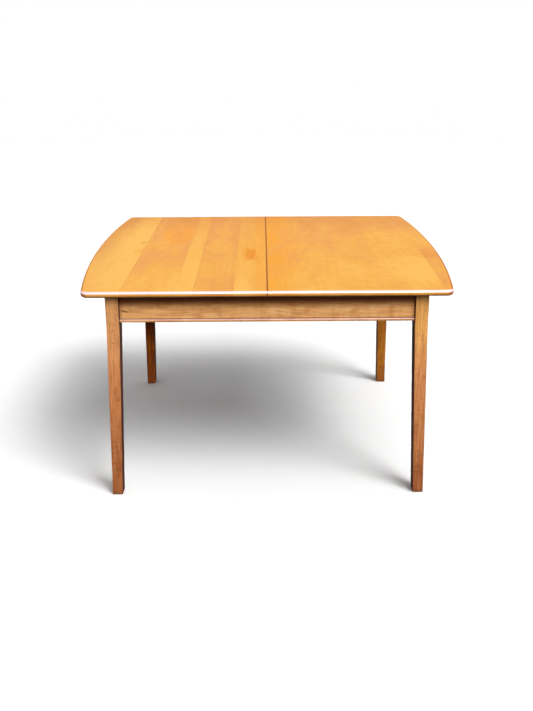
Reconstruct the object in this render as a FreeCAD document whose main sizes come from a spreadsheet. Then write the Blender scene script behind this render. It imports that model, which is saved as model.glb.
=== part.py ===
"""Butterfly leaf table: a fixed frame, two sliding top halves and a folding leaf.

Millimetres, +Z up. The origin is on the floor, under the middle of the table.
X runs along the table, Y from front to back, and the seam of the top is at X = 0.
"""
import FreeCAD, Part
import os
import re
import Sketcher

# ---- driving dimensions ------------------------------------------------------
SIZES = {
    # top
    "table_width": 1235.0,
    "table_depth": 905.0,
    "table_height": 745.0,
    "top_thickness": 20.0,
    "end_bow": 42.5,
    "corner_radius": 25.0,
    "edge_round": 8.0,
    "seam_ease": 0.8,
    "top_gap": 1.5,
    # legs
    "end_overhang": 59.0,
    "side_overhang": 64.5,
    "leg_width": 42.0,
    "leg_depth": 46.0,
    "leg_block": 122.0,
    "foot_width": 34.0,
    "foot_depth": 37.0,
    "foot_splay_x": 10.0,
    "foot_splay_y": 24.0,
    "arris_round": 1.6,
    # aprons
    "apron_drop": 112.0,
    "apron_thickness": 22.0,
    "apron_recess": 13.0,
    "bead_height": 10.0,
    "bead_proud": 4.0,
    "bead_round": 4.4,
    "tenon_length": 14.0,
    "tenon_thickness": 10.0,
    "tenon_inset": 16.0,
    # corner blocks and leg bolts
    "block_thickness": 30.0,
    "block_height": 52.0,
    "block_rise": 4.0,
    "block_gap": 1.0,
    "bolt_radius": 4.0,
    "bolt_in_leg": 28.0,
    "bolt_tail": 14.0,
    "nut_radius": 7.0,
    "nut_height": 6.5,
    "washer_radius": 10.0,
    "washer_height": 1.6,
    # guide rails, runners and stops
    "rail_thickness": 20.0,
    "rail_height": 35.5,
    "rail_end_gap": 2.0,
    "groove_height": 10.0,
    "groove_depth": 8.5,
    "groove_above_rail_foot": 12.0,
    "slide_clearance": 0.3,
    "runner_gap": 1.0,
    "runner_width": 24.0,
    "runner_inner_end": 5.0,
    "runner_outer_inset": 10.0,
    "notch_clearance": 3.0,
    "stop_length": 20.0,
    "stop_drop": 20.0,
    "over_travel": 3.0,
    "rail_screw_inset": 110.5,
    "rail_screw_rise": 6.0,
    "runner_screw_inset": 40.0,
    "dowel_radius": 4.0,
    "dowel_length": 24.0,
    "dowel_clearance": 0.15,
    "dowel_hole_spare": 1.0,
    # bearers and pivots
    "bearer_thickness": 22.0,
    "bearer_height": 55.0,
    "housing_depth": 6.0,
    "pivot_rise": 22.0,
    "bracket_thickness": 4.0,
    "bracket_half_width": 20.0,
    "bracket_drop": 60.0,
    "bracket_screw_offset": 12.0,
    "bracket_above_pin": 15.0,
    "pin_radius": 5.0,
    "pin_clearance": 0.1,
    "pin_tail": 3.0,
    # leaf
    "leaf_length": 450.0,
    "pivot_block_length": 30.0,
    "pivot_block_half": 19.0,
    "pivot_block_height": 36.0,
    "cleat_width": 18.0,
    "cleat_height": 14.0,
    "cleat_offset": 60.0,
    "cleat_seat_length": 15.0,
    "cleat_screw_inset": 90.0,
    "hinge_spacing": 150.0,
    "hinge_length": 42.0,
    "hinge_leaf_width": 24.0,
    "hinge_leaf_thickness": 1.6,
    "knuckle_radius": 2.6,
    "knuckle_gap": 0.3,
    "hinge_pin_radius": 1.2,
    "catch_inset": 30.0,
    "catch_radius": 6.0,
    "catch_depth": 13.0,
    "catch_ball_radius": 3.5,
    "catch_ball_rise": 1.2,
    "strike_length": 36.0,
    "strike_width": 14.0,
    "strike_thickness": 1.6,
    "strike_clearance": 0.3,
    "strike_screw_offset": 12.0,
    "hinge_screw_offset": 13.0,
    "hinge_screw_y": 15.0,
    # screws
    "screw_radius": 2.2,
    "screw_head_radius": 4.4,
    "screw_head_height": 2.6,
    "screw_hold": 12.0,
    "small_screw_radius": 1.5,
    "small_screw_head_radius": 3.0,
    "small_screw_head_height": 1.4,
    "small_screw_length": 12.0,
}

RAIL_SCREWS = 5
RUNNER_SCREWS = 4
CLEAT_SCREWS = 4

# ---- places worked out from them ---------------------------------------------
PLACES = {
    "half_width": "table_width / 2",
    "half_depth": "table_depth / 2",
    "top_under": "table_height - top_thickness",
    "frame_top": "top_under - top_gap",
    "corner_x": "half_width - end_bow",
    "end_radius": "table_depth * table_depth / (8 * end_bow) + end_bow / 2",
    "leg_outer_x": "corner_x - end_overhang",
    "leg_outer_y": "half_depth - side_overhang",
    "leg_inner_x": "leg_outer_x - leg_width",
    "leg_inner_y": "leg_outer_y - leg_depth",
    "apron_face_x": "leg_outer_x - apron_recess",
    "apron_face_y": "leg_outer_y - apron_recess",
    "apron_back_x": "apron_face_x - apron_thickness",
    "apron_back_y": "apron_face_y - apron_thickness",
    "bead_foot": "top_under - apron_drop",
    "apron_foot": "bead_foot + bead_height",
    "tenon_foot": "apron_foot + tenon_inset",
    "tenon_head": "frame_top - tenon_inset",
    "notch_foot": "rail_foot - notch_clearance",
    "end_tenon_head": "notch_foot - tenon_inset / 4",
    "block_foot": "apron_foot + block_rise",
    "block_head": "block_foot + block_height",
    "block_outer_sum": "leg_inner_x + leg_inner_y - sqrt(2) * block_gap",
    "block_inner_sum": "block_outer_sum - sqrt(2) * block_thickness",
    "bolt_z": "block_foot + block_height / 2",
    "rail_foot": "frame_top - rail_height",
    "rail_inner_y": "apron_back_y - rail_thickness",
    "rail_end_x": "leg_inner_x - rail_end_gap",
    "rail_screw_x": "rail_end_x - rail_screw_inset",
    "groove_foot": "rail_foot + groove_above_rail_foot",
    "groove_head": "groove_foot + groove_height",
    "runner_outer_y": "rail_inner_y - runner_gap",
    "runner_inner_y": "runner_outer_y - runner_width",
    "runner_mid_y": "runner_outer_y - runner_width / 2",
    "runner_end_x": "apron_back_x - runner_outer_inset",
    "runner_screw_first": "runner_inner_end + stop_length + runner_screw_inset",
    "runner_screw_last": "runner_end_x - runner_screw_inset",
    "inner_dowel_y": "table_depth / 8",
    "outer_dowel_y": "3 * table_depth / 8",
    "slide_travel": "leaf_length / 2 + dowel_length / 2 + over_travel",
    "bearer_inner_x": "runner_inner_end + stop_length + slide_travel",
    "bearer_outer_x": "bearer_inner_x + bearer_thickness",
    "pack_head": "top_under - 2 * pivot_rise",
    "bearer_foot": "pack_head - bearer_height",
    "wing_face": "pack_head - top_thickness",
    "pack_foot": "wing_face - top_thickness",
    "pivot_y": "-table_depth / 8",
    "pivot_z": "top_under - pivot_rise",
    "fold_y": "-table_depth / 4",
    "leaf_half": "leaf_length / 2",
    "cleat_half": "bearer_inner_x + cleat_seat_length",
    "cleat_screw_x": "cleat_half - cleat_screw_inset",
    "catch_y": "table_depth / 4 - catch_inset",
}

doc = FreeCAD.newDocument("butterfly_leaf_table")
nodes = []


def bound(text):
    """Writes a formula over the named sizes the way the document reads it."""

    def refer(found):
        name = found.group(0)
        if name in SIZES:
            return f"sizes.{name}"
        return f"places.{name}" if name in PLACES else name

    return re.sub(r"[a-z_][a-z0-9_]*", refer, text)


def fill_sheets():
    """Puts the driving dimensions in one sheet and what follows from them in another."""
    sizes = doc.addObject("Spreadsheet::Sheet", "sizes")
    for row, (name, value) in enumerate(SIZES.items(), start=1):
        sizes.set(f"A{row}", name)
        sizes.set(f"B{row}", str(value))
        sizes.setAlias(f"B{row}", name)
    places = doc.addObject("Spreadsheet::Sheet", "places")
    for row, name in enumerate(PLACES, start=1):
        places.set(f"A{row}", name)
        places.setAlias(f"B{row}", name)
    for row, text in enumerate(PLACES.values(), start=1):
        places.set(f"B{row}", "=" + bound(text))
    doc.recompute()


def bind(item, formulas):
    """Binds properties of an object to formulas over the named sizes."""
    for name, text in formulas.items():
        item.setExpression(name, bound(text))


def place(item, x, y, z, turn=None):
    """Sets an object at bound coordinates, with an optional fixed rotation."""
    if turn:
        item.Placement = FreeCAD.Placement(FreeCAD.Vector(), turn)
    bind(item, {"Placement.Base.x": x, "Placement.Base.y": y, "Placement.Base.z": z})


def node(name, item):
    """Names a finished sub-part; its Label is the name of its file."""
    item.Label = name
    nodes.append(item)
    return item


def span(sign, low, high):
    """The range low..high on the positive side of an axis, or its mirror image."""
    return (low, high) if sign > 0 else (f"-({high})", f"-({low})")


def middle(centre, half):
    """The range that lies half to each side of a centre."""
    return (f"{centre} - {half}", f"{centre} + {half}")


def spread(first, last, count):
    """Evenly spaced coordinates from a first to a last one."""
    return [f"{first} + ({last} - ({first})) * {step} / {count - 1}" for step in range(count)]


def block(name, x, y, z):
    """A box given by its range on each axis."""
    item = doc.addObject("Part::Box", name)
    for side, axis, (low, high) in zip(("Length", "Width", "Height"), "xyz", (x, y, z)):
        bind(item, {side: f"({high}) - ({low})", f"Placement.Base.{axis}": low})
    return item


def turned(direction):
    """The rotation that takes +Z to a direction."""
    return FreeCAD.Rotation(FreeCAD.Vector(0, 0, 1), FreeCAD.Vector(*direction))


def rod(name, radius, length, base, direction):
    """A round bar from a base point along a direction."""
    item = doc.addObject("Part::Cylinder", name)
    place(item, *base, turn=turned(direction))
    bind(item, {"Radius": radius, "Height": length})
    return item


def fused(name, pieces):
    """Several pieces joined into one solid."""
    item = doc.addObject("Part::MultiFuse", name)
    item.Shapes = pieces
    return item


def grouped(name, pieces):
    """Several solids kept apart in one object."""
    item = doc.addObject("Part::Compound", name)
    item.Links = pieces
    return item


def carved(name, base, tools):
    """A piece with the room for other pieces cut out of it."""
    item = doc.addObject("Part::Cut", name)
    item.Base = base
    item.Tool = tools[0] if len(tools) == 1 else grouped(name + "_room", tools)
    return item


def screw(name, base, direction, length, kind="screw"):
    """A countersunk wood screw whose head is flush with its base point."""
    shank = rod(name + "_shank", kind + "_radius", length, base, direction)
    head = doc.addObject("Part::Cone", name + "_head")
    place(head, *base, turn=turned(direction))
    bind(head, {
        "Radius1": kind + "_head_radius",
        "Radius2": kind + "_radius",
        "Height": kind + "_head_height",
    })
    return fused(name, [shank, head])


def role_plane(body, role):
    """One of a body's own origin planes."""
    return next(f for f in body.Origin.OriginFeatures if f.Role == role)


def flat_sketch(body, name, x="0", y="0", z="0"):
    """A sketch parallel to a body's XY plane, with its origin at a bound offset."""
    sketch = body.newObject("Sketcher::SketchObject", name)
    sketch.AttachmentSupport = [(role_plane(body, "XY_Plane"), "")]
    sketch.MapMode = "FlatFace"
    bind(sketch, {
        "AttachmentOffset.Base.x": x,
        "AttachmentOffset.Base.y": y,
        "AttachmentOffset.Base.z": z,
    })
    return sketch


def now(text):
    """The present number behind a formula over the named sizes."""
    return float(doc.getObject("sizes").evalExpression(bound(text)))


def loop(sketch, points):
    """Draws a closed run of straight lines through points, joined at their ends."""
    corners = [FreeCAD.Vector(x, y, 0) for x, y in points]
    for start, end in zip(corners, corners[1:] + corners[:1]):
        sketch.addGeometry(Part.LineSegment(start, end))
    for edge in range(len(corners)):
        after = (edge + 1) % len(corners)
        sketch.addConstraint(Sketcher.Constraint("Coincident", edge, 2, after, 1))


def rectangle(sketch, width, depth):
    """Draws a rectangle centred on the sketch's origin, with bound sides."""
    x = now(width) / 2
    y = now(depth) / 2
    loop(sketch, ((-x, -y), (x, -y), (x, y), (-x, y)))
    for edge, kind in enumerate(("Horizontal", "Vertical", "Horizontal", "Vertical")):
        sketch.addConstraint(Sketcher.Constraint(kind, edge))
    sketch.addConstraint(Sketcher.Constraint("Symmetric", 0, 1, 2, 1, -1, 1))
    wide = sketch.addConstraint(Sketcher.Constraint("DistanceX", 0, 1, 0, 2, 2 * x))
    deep = sketch.addConstraint(Sketcher.Constraint("DistanceY", 1, 1, 1, 2, 2 * y))
    bind(sketch, {f"Constraints[{wide}]": width, f"Constraints[{deep}]": depth})
    return sketch


def pad(body, name, sketch, length):
    """Pads a sketch along +Z by a bound length."""
    item = body.newObject("PartDesign::Pad", name)
    item.Profile = sketch
    bind(item, {"Length": length})
    return item


def rounded(body, name, base, radius, wanted):
    """Rounds the edges of a feature that a test picks out."""
    doc.recompute()
    edges = [f"Edge{n}" for n, edge in enumerate(base.Shape.Edges, start=1) if wanted(edge)]
    item = body.newObject("PartDesign::Fillet", name)
    item.Base = (base, edges)
    bind(item, {"Radius": radius})
    return item


def near(a, b):
    return abs(a - b) < SAME_PLACE


fill_sheets()
SAME_PLACE = 1e-4
SIDES = (("left", -1), ("right", 1))
FACES = (("front", -1), ("back", 1))


def mirrored(name, source, sign_x, sign_y):
    """A piece made for the right back quarter, carried over to another quarter."""
    for sign, normal in ((sign_x, (1, 0, 0)), (sign_y, (0, 1, 0))):
        if sign < 0:
            image = doc.addObject("Part::Mirroring", f"{name}_mirror_{normal[0]}{normal[1]}")
            image.Source = source
            image.Base = FreeCAD.Vector()
            image.Normal = FreeCAD.Vector(*normal)
            source = image
    return source


# ---- legs: a square block at the head, then a straight taper to the foot ------
def leg_blank():
    body = doc.addObject("PartDesign::Body", "leg_blank")
    head = rectangle(flat_sketch(body, "leg_head"), "leg_width", "leg_depth")
    pad(body, "leg_block_pad", head, "leg_block")
    neck = rectangle(flat_sketch(body, "leg_neck"), "leg_width", "leg_depth")
    foot = rectangle(flat_sketch(
        body, "leg_foot",
        x="foot_splay_x + leg_width / 2 - foot_width / 2",
        y="foot_splay_y + leg_depth / 2 - foot_depth / 2",
        z="leg_block - frame_top"), "foot_width", "foot_depth")
    taper = body.newObject("PartDesign::AdditiveLoft", "leg_taper")
    taper.Profile = neck
    taper.Sections = [foot]
    taper.Ruled = True
    doc.recompute()
    floor = now("leg_block - frame_top")

    def worn(edge):
        ends = edge.Vertexes
        upright = not near(ends[0].Z, ends[-1].Z)
        return upright or all(near(end.Z, floor) for end in ends)

    rounded(body, "leg_arris", taper, "arris_round", worn)
    place(body, "leg_outer_x - leg_width / 2", "leg_outer_y - leg_depth / 2",
          "frame_top - leg_block")
    return body


# ---- corner blocks: a slab across each corner, pulled to the leg by a bolt -----
def corner_slab():
    """The slab between two diagonal lines and the back faces of two aprons."""
    body = doc.addObject("PartDesign::Body", "corner_slab")
    sketch = flat_sketch(body, "corner_slab_outline")
    corners = (
        ("block_outer_sum - apron_back_y", "apron_back_y"),
        ("apron_back_x", "block_outer_sum - apron_back_x"),
        ("apron_back_x", "block_inner_sum - apron_back_x"),
        ("block_inner_sum - apron_back_y", "apron_back_y"),
    )
    loop(sketch, [(now(x), now(y)) for x, y in corners])
    for corner, (x, y) in enumerate(corners):
        for kind, text in (("DistanceX", x), ("DistanceY", y)):
            mark = sketch.addConstraint(
                Sketcher.Constraint(kind, -1, 1, corner, 1, now(text)))
            bind(sketch, {f"Constraints[{mark}]": text})
    pad(body, "corner_slab_pad", sketch, "block_height")
    place(body, "0", "0", "block_foot")
    return body


def along_bolt(distance):
    """A point on the bolt's axis, a distance out from the leg's inner arris."""
    step = f"({distance}) / sqrt(2)"
    return (f"leg_inner_x + {step}", f"leg_inner_y + {step}", "bolt_z")


OUTWARD = (1, 1, 0)
slab_inner_face = "-(block_thickness + block_gap)"
leg_bolt = rod("leg_bolt_master", "bolt_radius",
               "bolt_in_leg + block_gap + block_thickness + bolt_tail",
               along_bolt(f"{slab_inner_face} - bolt_tail"), OUTWARD)
washer_seat = f"{slab_inner_face} - washer_height"
nut = doc.addObject("Part::Prism", "nut_master")
place(nut, *along_bolt(f"{washer_seat} - nut_height"), turn=turned(OUTWARD))
nut.Polygon = 6
bind(nut, {"Circumradius": "nut_radius", "Height": "nut_height"})
washer = rod("washer_master", "washer_radius", "washer_height",
             along_bolt(washer_seat), OUTWARD)
nut_and_washer = carved("nut_and_washer", fused("nut_on_washer", [nut, washer]), [leg_bolt])
leg_master = leg_blank()
slab_master = carved("corner_slab_bored", corner_slab(), [leg_bolt])


# ---- frame: legs, aprons, beads and corner blocks ------------------------------
TENON_IN = "(apron_thickness - tenon_thickness) / 2"


def tenon(name, sign_x, sign_y, along):
    """A stub tenon; it runs into the leg along X or along Y."""
    if along == "x":
        x = ("leg_inner_x", "leg_inner_x + tenon_length")
        y = (f"apron_back_y + {TENON_IN}", f"apron_face_y - {TENON_IN}")
        head = "tenon_head"
    else:
        x = (f"apron_back_x + {TENON_IN}", f"apron_face_x - {TENON_IN}")
        y = ("leg_inner_y", "leg_inner_y + tenon_length")
        head = "end_tenon_head"
    return block(name, span(sign_x, *x), span(sign_y, *y), ("tenon_foot", head))


tenons = {
    (face, side, along): tenon(f"tenon_{face}_{side}_{along}", sign_x, sign_y, along)
    for face, sign_y in FACES for side, sign_x in SIDES for along in "xy"
}
bolts = {}
nuts = []
for face, sign_y in FACES:
    for side, sign_x in SIDES:
        name = f"{face}_{side}"
        bolt = mirrored(f"bolt_{name}", leg_bolt, sign_x, sign_y)
        bolts[face, side] = bolt
        nuts.append(mirrored(f"nut_{name}", nut_and_washer, sign_x, sign_y))
        leg = mirrored(f"leg_{name}_blank", leg_master, sign_x, sign_y)
        node(f"leg_{face}_{side}", carved(
            f"leg_{name}", leg, [tenons[face, side, "x"], tenons[face, side, "y"], bolt]))
        slab = mirrored(f"corner_{name}", slab_master, sign_x, sign_y)
        node(f"corner_block_{name}", slab)
node("leg_bolts", grouped("leg_bolts", list(bolts.values())))
node("leg_bolt_nuts", grouped("leg_bolt_nuts", nuts))


bearer_housing = {
    side: block(f"bearer_housing_{side}", span(sign_x, "bearer_inner_x", "bearer_outer_x"),
                ("-(apron_back_y + housing_depth)", "apron_back_y + housing_depth"),
                ("bearer_foot", "pack_head"))
    for side, sign_x in SIDES
}
rail_screws = {
    face: [
        screw(f"rail_screw_{face}_{number}",
              (x, f"{sign_y} * rail_inner_y", "rail_foot + rail_screw_rise"),
              (0, sign_y, 0), "rail_thickness + screw_hold")
        for number, x in enumerate(spread("-rail_screw_x", "rail_screw_x", RAIL_SCREWS), 1)
    ]
    for face, sign_y in FACES
}
for face, sign_y in FACES:
    board = block(f"apron_{face}_board", ("-leg_inner_x", "leg_inner_x"),
                  span(sign_y, "apron_back_y", "apron_face_y"), ("apron_foot", "frame_top"))
    tenoned = fused(f"apron_{face}_tenoned",
                    [board, tenons[face, "left", "x"], tenons[face, "right", "x"]])
    node(f"apron_{face}", carved(
        f"apron_{face}", tenoned,
        [*bearer_housing.values(), *rail_screws[face],
         bolts[face, "left"], bolts[face, "right"]]))
for side, sign_x in SIDES:
    board = block(f"apron_{side}_board", span(sign_x, "apron_back_x", "apron_face_x"),
                  ("-leg_inner_y", "leg_inner_y"), ("apron_foot", "frame_top"))
    tenoned = fused(f"apron_{side}_tenoned",
                    [board, tenons["front", side, "y"], tenons["back", side, "y"]])
    notches = [
        block(f"runner_notch_{face}_{side}", span(sign_x, "apron_back_x", "apron_face_x"),
              span(sign_y, "runner_inner_y - notch_clearance", "leg_inner_y"),
              ("notch_foot", "frame_top"))
        for face, sign_y in FACES
    ]
    node(f"apron_{side}", carved(
        f"apron_{side}", tenoned, [*notches, bolts["front", side], bolts["back", side]]))


def bead(name, width, depth, x, y, outer):
    """A strip under an apron, with the two long edges of its outer side rounded."""
    body = doc.addObject("PartDesign::Body", name)
    strip = pad(body, name + "_pad", rectangle(
        flat_sketch(body, name + "_sketch"), width, depth), "bead_height")
    doc.recompute()
    reach = max(outer(v) for v in strip.Shape.Vertexes)
    rounded(body, name + "_round", strip, "bead_round", lambda edge: near(
        edge.Vertexes[0].Z, edge.Vertexes[-1].Z) and all(
            near(outer(v), reach) for v in edge.Vertexes))
    place(body, x, y, "bead_foot")
    return body


BEAD_WIDTH = "apron_thickness + bead_proud"
long_bead = bead("long_bead", "2 * leg_inner_x", BEAD_WIDTH, "0",
                 f"apron_back_y + ({BEAD_WIDTH}) / 2", lambda v: v.Y)
end_bead = bead("end_bead", BEAD_WIDTH, "2 * leg_inner_y",
                f"apron_back_x + ({BEAD_WIDTH}) / 2", "0", lambda v: v.X)
for face, sign_y in FACES:
    node(f"bead_{face}", mirrored(f"bead_{face}", long_bead, 1, sign_y))
for side, sign_x in SIDES:
    node(f"bead_{side}", mirrored(f"bead_{side}", end_bead, sign_x, 1))


# ---- guide rails: a groove along the inside of each long apron -----------------
for face, sign_y in FACES:
    bar = block(f"rail_{face}_bar", ("-rail_end_x", "rail_end_x"),
                span(sign_y, "rail_inner_y", "apron_back_y"), ("rail_foot", "frame_top"))
    groove = block(f"rail_{face}_groove", ("-rail_end_x", "rail_end_x"),
                   span(sign_y, "rail_inner_y", "rail_inner_y + groove_depth"),
                   ("groove_foot", "groove_head"))
    node(f"guide_rail_{face}", carved(f"guide_rail_{face}", bar, [groove, *rail_screws[face]]))
node("guide_rail_screws", grouped("guide_rail_screws",
                                  rail_screws["front"] + rail_screws["back"]))


# ---- cross bearers and pivot brackets ------------------------------------------
PIVOT = ("pivot_y", "pivot_z")


def side_bar(name, sign_x, radius, start, end, y, z):
    """A round bar along X on one side, between two distances from the middle."""
    return rod(name, radius, f"({end}) - ({start})",
               (f"{sign_x} * ({start})", y, z), (sign_x, 0, 0))


bracket_screws = []
for side, sign_x in SIDES:
    face_x = "bearer_inner_x - bracket_thickness"
    screws = [
        screw(f"bracket_screw_{side}_{number}",
              (f"{sign_x} * ({face_x})", f"pivot_y + {step} * bracket_screw_offset",
               f"pack_head - {drop} * bracket_screw_offset"),
              (sign_x, 0, 0), "bracket_thickness + screw_hold", "small_screw")
        for number, (step, drop) in enumerate(((-1, 1), (1, 1), (0, 2)), start=1)
    ]
    bracket_screws += screws
    node(f"cross_bearer_{side}", carved(f"cross_bearer_{side}", bearer_housing[side], screws))
    plate = block(f"bracket_{side}_plate", span(sign_x, face_x, "bearer_inner_x"),
                  middle("pivot_y", "bracket_half_width"),
                  ("pivot_z - bracket_drop", "pivot_z + bracket_above_pin"))
    eye = side_bar(f"bracket_{side}_eye", sign_x, "pin_radius + pin_clearance",
                   face_x, "bearer_inner_x", *PIVOT)
    node(f"pivot_bracket_{side}", carved(f"pivot_bracket_{side}", plate, [eye, *screws]))
node("pivot_bracket_screws", grouped("pivot_bracket_screws", bracket_screws))


# ---- top halves: straight long edges, a bowed end, round edges, an eased seam ---
def top_blank():
    body = doc.addObject("PartDesign::Body", "top_blank")
    sketch = flat_sketch(body, "top_outline")
    deep = now("half_depth")
    corner = now("corner_x")
    points = [(0, -deep), (0, deep), (corner, deep), (corner, -deep)]
    seam_front, seam_back, back, front = (FreeCAD.Vector(x, y, 0) for x, y in points)
    bow = FreeCAD.Vector(now("half_width"), 0, 0)
    sketch.addGeometry(Part.LineSegment(seam_front, seam_back))
    sketch.addGeometry(Part.LineSegment(seam_back, back))
    sketch.addGeometry(Part.Arc(front, bow, back))
    sketch.addGeometry(Part.LineSegment(front, seam_front))
    for edge, end, other, start in ((0, 2, 1, 1), (1, 2, 2, 2), (2, 1, 3, 1), (3, 2, 0, 1)):
        sketch.addConstraint(Sketcher.Constraint("Coincident", edge, end, other, start))
    sketch.addConstraint(Sketcher.Constraint("Vertical", 0))
    sketch.addConstraint(Sketcher.Constraint("Horizontal", 1))
    sketch.addConstraint(Sketcher.Constraint("Horizontal", 3))
    sketch.addConstraint(Sketcher.Constraint("Equal", 1, 3))
    sketch.addConstraint(Sketcher.Constraint("Symmetric", 0, 1, 0, 2, -1, 1))
    depth = sketch.addConstraint(Sketcher.Constraint("DistanceY", 0, 1, 0, 2, 2 * deep))
    side = sketch.addConstraint(Sketcher.Constraint("DistanceX", 1, 1, 1, 2, corner))
    end = sketch.addConstraint(Sketcher.Constraint("Radius", 2, now("end_radius")))
    bind(sketch, {
        f"Constraints[{depth}]": "table_depth",
        f"Constraints[{side}]": "corner_x",
        f"Constraints[{end}]": "end_radius",
    })
    board = pad(body, "top_board", sketch, "top_thickness")
    cornered = rounded(body, "top_corners", board, "corner_radius", lambda edge: near(
        edge.Vertexes[0].X, corner) and not near(edge.Vertexes[0].Z, edge.Vertexes[-1].Z))
    edged = rounded(body, "top_edge", cornered, "edge_round", lambda edge: near(
        edge.Vertexes[0].Z, edge.Vertexes[-1].Z) and not all(
            near(v.X, 0) for v in edge.Vertexes))
    top = now("top_thickness")
    rounded(body, "seam_edge", edged, "seam_ease", lambda edge: all(
        near(v.X, 0) and near(v.Z, top) for v in edge.Vertexes))
    place(body, "0", "0", "top_under")
    return body


top_master = top_blank()
DOWEL_STEPS = ("-outer_dowel_y", "-inner_dowel_y", "inner_dowel_y", "outer_dowel_y")
MID_TOP = "table_height - top_thickness / 2"
dowels = [
    rod(f"dowel_{n}", "dowel_radius", "dowel_length", ("-dowel_length / 2", y, MID_TOP), (1, 0, 0))
    for n, y in enumerate(DOWEL_STEPS, start=1)
]
dowel_holes = [
    rod(f"dowel_hole_{n}", "dowel_radius + dowel_clearance",
        "dowel_length / 2 + dowel_hole_spare", ("0", y, MID_TOP), (1, 0, 0))
    for n, y in enumerate(DOWEL_STEPS, start=1)
]
node("alignment_dowels", grouped("alignment_dowels", dowels))


# ---- runners under each top half, with the stops at their inner ends -----------
for side, sign_x in SIDES:
    runner_screws = []
    stop_screws = []
    for face, sign_y in FACES:
        name = f"{face}_{side}"
        across = span(sign_y, "runner_inner_y", "runner_outer_y")
        bar = block(f"runner_{name}_bar", span(sign_x, "runner_inner_end", "runner_end_x"),
                    across, ("rail_foot", "top_under"))
        tongue = block(
            f"runner_{name}_tongue", span(sign_x, "runner_inner_end", "runner_end_x"),
            span(sign_y, "runner_outer_y", "rail_inner_y + groove_depth - slide_clearance"),
            ("groove_foot + slide_clearance", "groove_head - slide_clearance"))
        holds = [
            screw(f"runner_screw_{name}_{number}",
                  (f"{sign_x} * ({x})", f"{sign_y} * runner_mid_y", "rail_foot"),
                  (0, 0, 1), "top_under - rail_foot + screw_hold")
            for number, x in enumerate(
                spread("runner_screw_first", "runner_screw_last", RUNNER_SCREWS), 1)
        ]
        stop_screw = screw(
            f"stop_screw_{name}",
            (f"{sign_x} * (runner_inner_end + stop_length / 2)", f"{sign_y} * runner_mid_y",
             "rail_foot - stop_drop"), (0, 0, 1), "stop_drop + screw_hold")
        runner_screws += holds
        stop_screws.append(stop_screw)
        node(f"runner_{name}", carved(
            f"runner_{name}", fused(f"runner_{name}_tongued", [bar, tongue]),
            [*holds, stop_screw]))
        stop = block(f"stop_{name}_bar",
                     span(sign_x, "runner_inner_end", "runner_inner_end + stop_length"),
                     across, ("rail_foot - stop_drop", "rail_foot"))
        node(f"slide_stop_{name}", carved(f"slide_stop_{name}", stop, [stop_screw]))
    blank = mirrored(f"top_{side}_blank", top_master, sign_x, 1)
    seats = dowels if sign_x < 0 else dowel_holes
    node(f"top_{side}", carved(f"top_{side}", blank, [*runner_screws, *seats]))
    node(f"runner_screws_{side}", grouped(f"runner_screws_{side}", runner_screws))
    node(f"slide_stop_screws_{side}", grouped(f"slide_stop_screws_{side}", stop_screws))


# ---- folding leaf, stored upside down: front wing on top, back wing under it ----
def wing_blank(name, foot):
    """A leaf board whose far long edge is rounded like the edge of the top."""
    body = doc.addObject("PartDesign::Body", name)
    board = pad(body, name + "_board", rectangle(
        flat_sketch(body, name + "_outline"), "leaf_length", "half_depth"), "top_thickness")
    doc.recompute()
    reach = max(v.Y for v in board.Shape.Vertexes)
    rounded(body, name + "_edge", board, "edge_round", lambda edge: near(
        edge.Vertexes[0].Z, edge.Vertexes[-1].Z) and all(
            near(v.Y, reach) for v in edge.Vertexes))
    place(body, "0", "0", foot)
    return body


WING_FOOT = {"front": "wing_face", "back": "pack_foot"}
room = {"front": [], "back": []}
for face, foot in WING_FOOT.items():
    pegs = []
    for name in ("inner", "outer"):
        on_axis = (f"fold_y + {name}_dowel_y", f"{foot} + top_thickness / 2")
        pegs.append(side_bar(
            f"leaf_dowel_{face}_{name}", 1, "dowel_radius",
            "leaf_half - dowel_length / 2", "leaf_half + dowel_length / 2", *on_axis))
        room[face].append(side_bar(
            f"leaf_dowel_hole_{face}_{name}", -1, "dowel_radius + dowel_clearance",
            "leaf_half - dowel_length / 2 - dowel_hole_spare", "leaf_half", *on_axis))
    room[face] += pegs
    node(f"leaf_dowels_{face}", grouped(f"leaf_dowels_{face}", pegs))


# ---- leaf hinges: flush plates on the two show faces, with the pin at their joint
def fold_bar(name, radius, centre, half):
    """A round bar on the fold axis, half to each side of a centre."""
    return rod(name, radius, f"2 * ({half})", (f"{centre} - ({half})", "fold_y", "wing_face"),
               (1, 0, 0))


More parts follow.
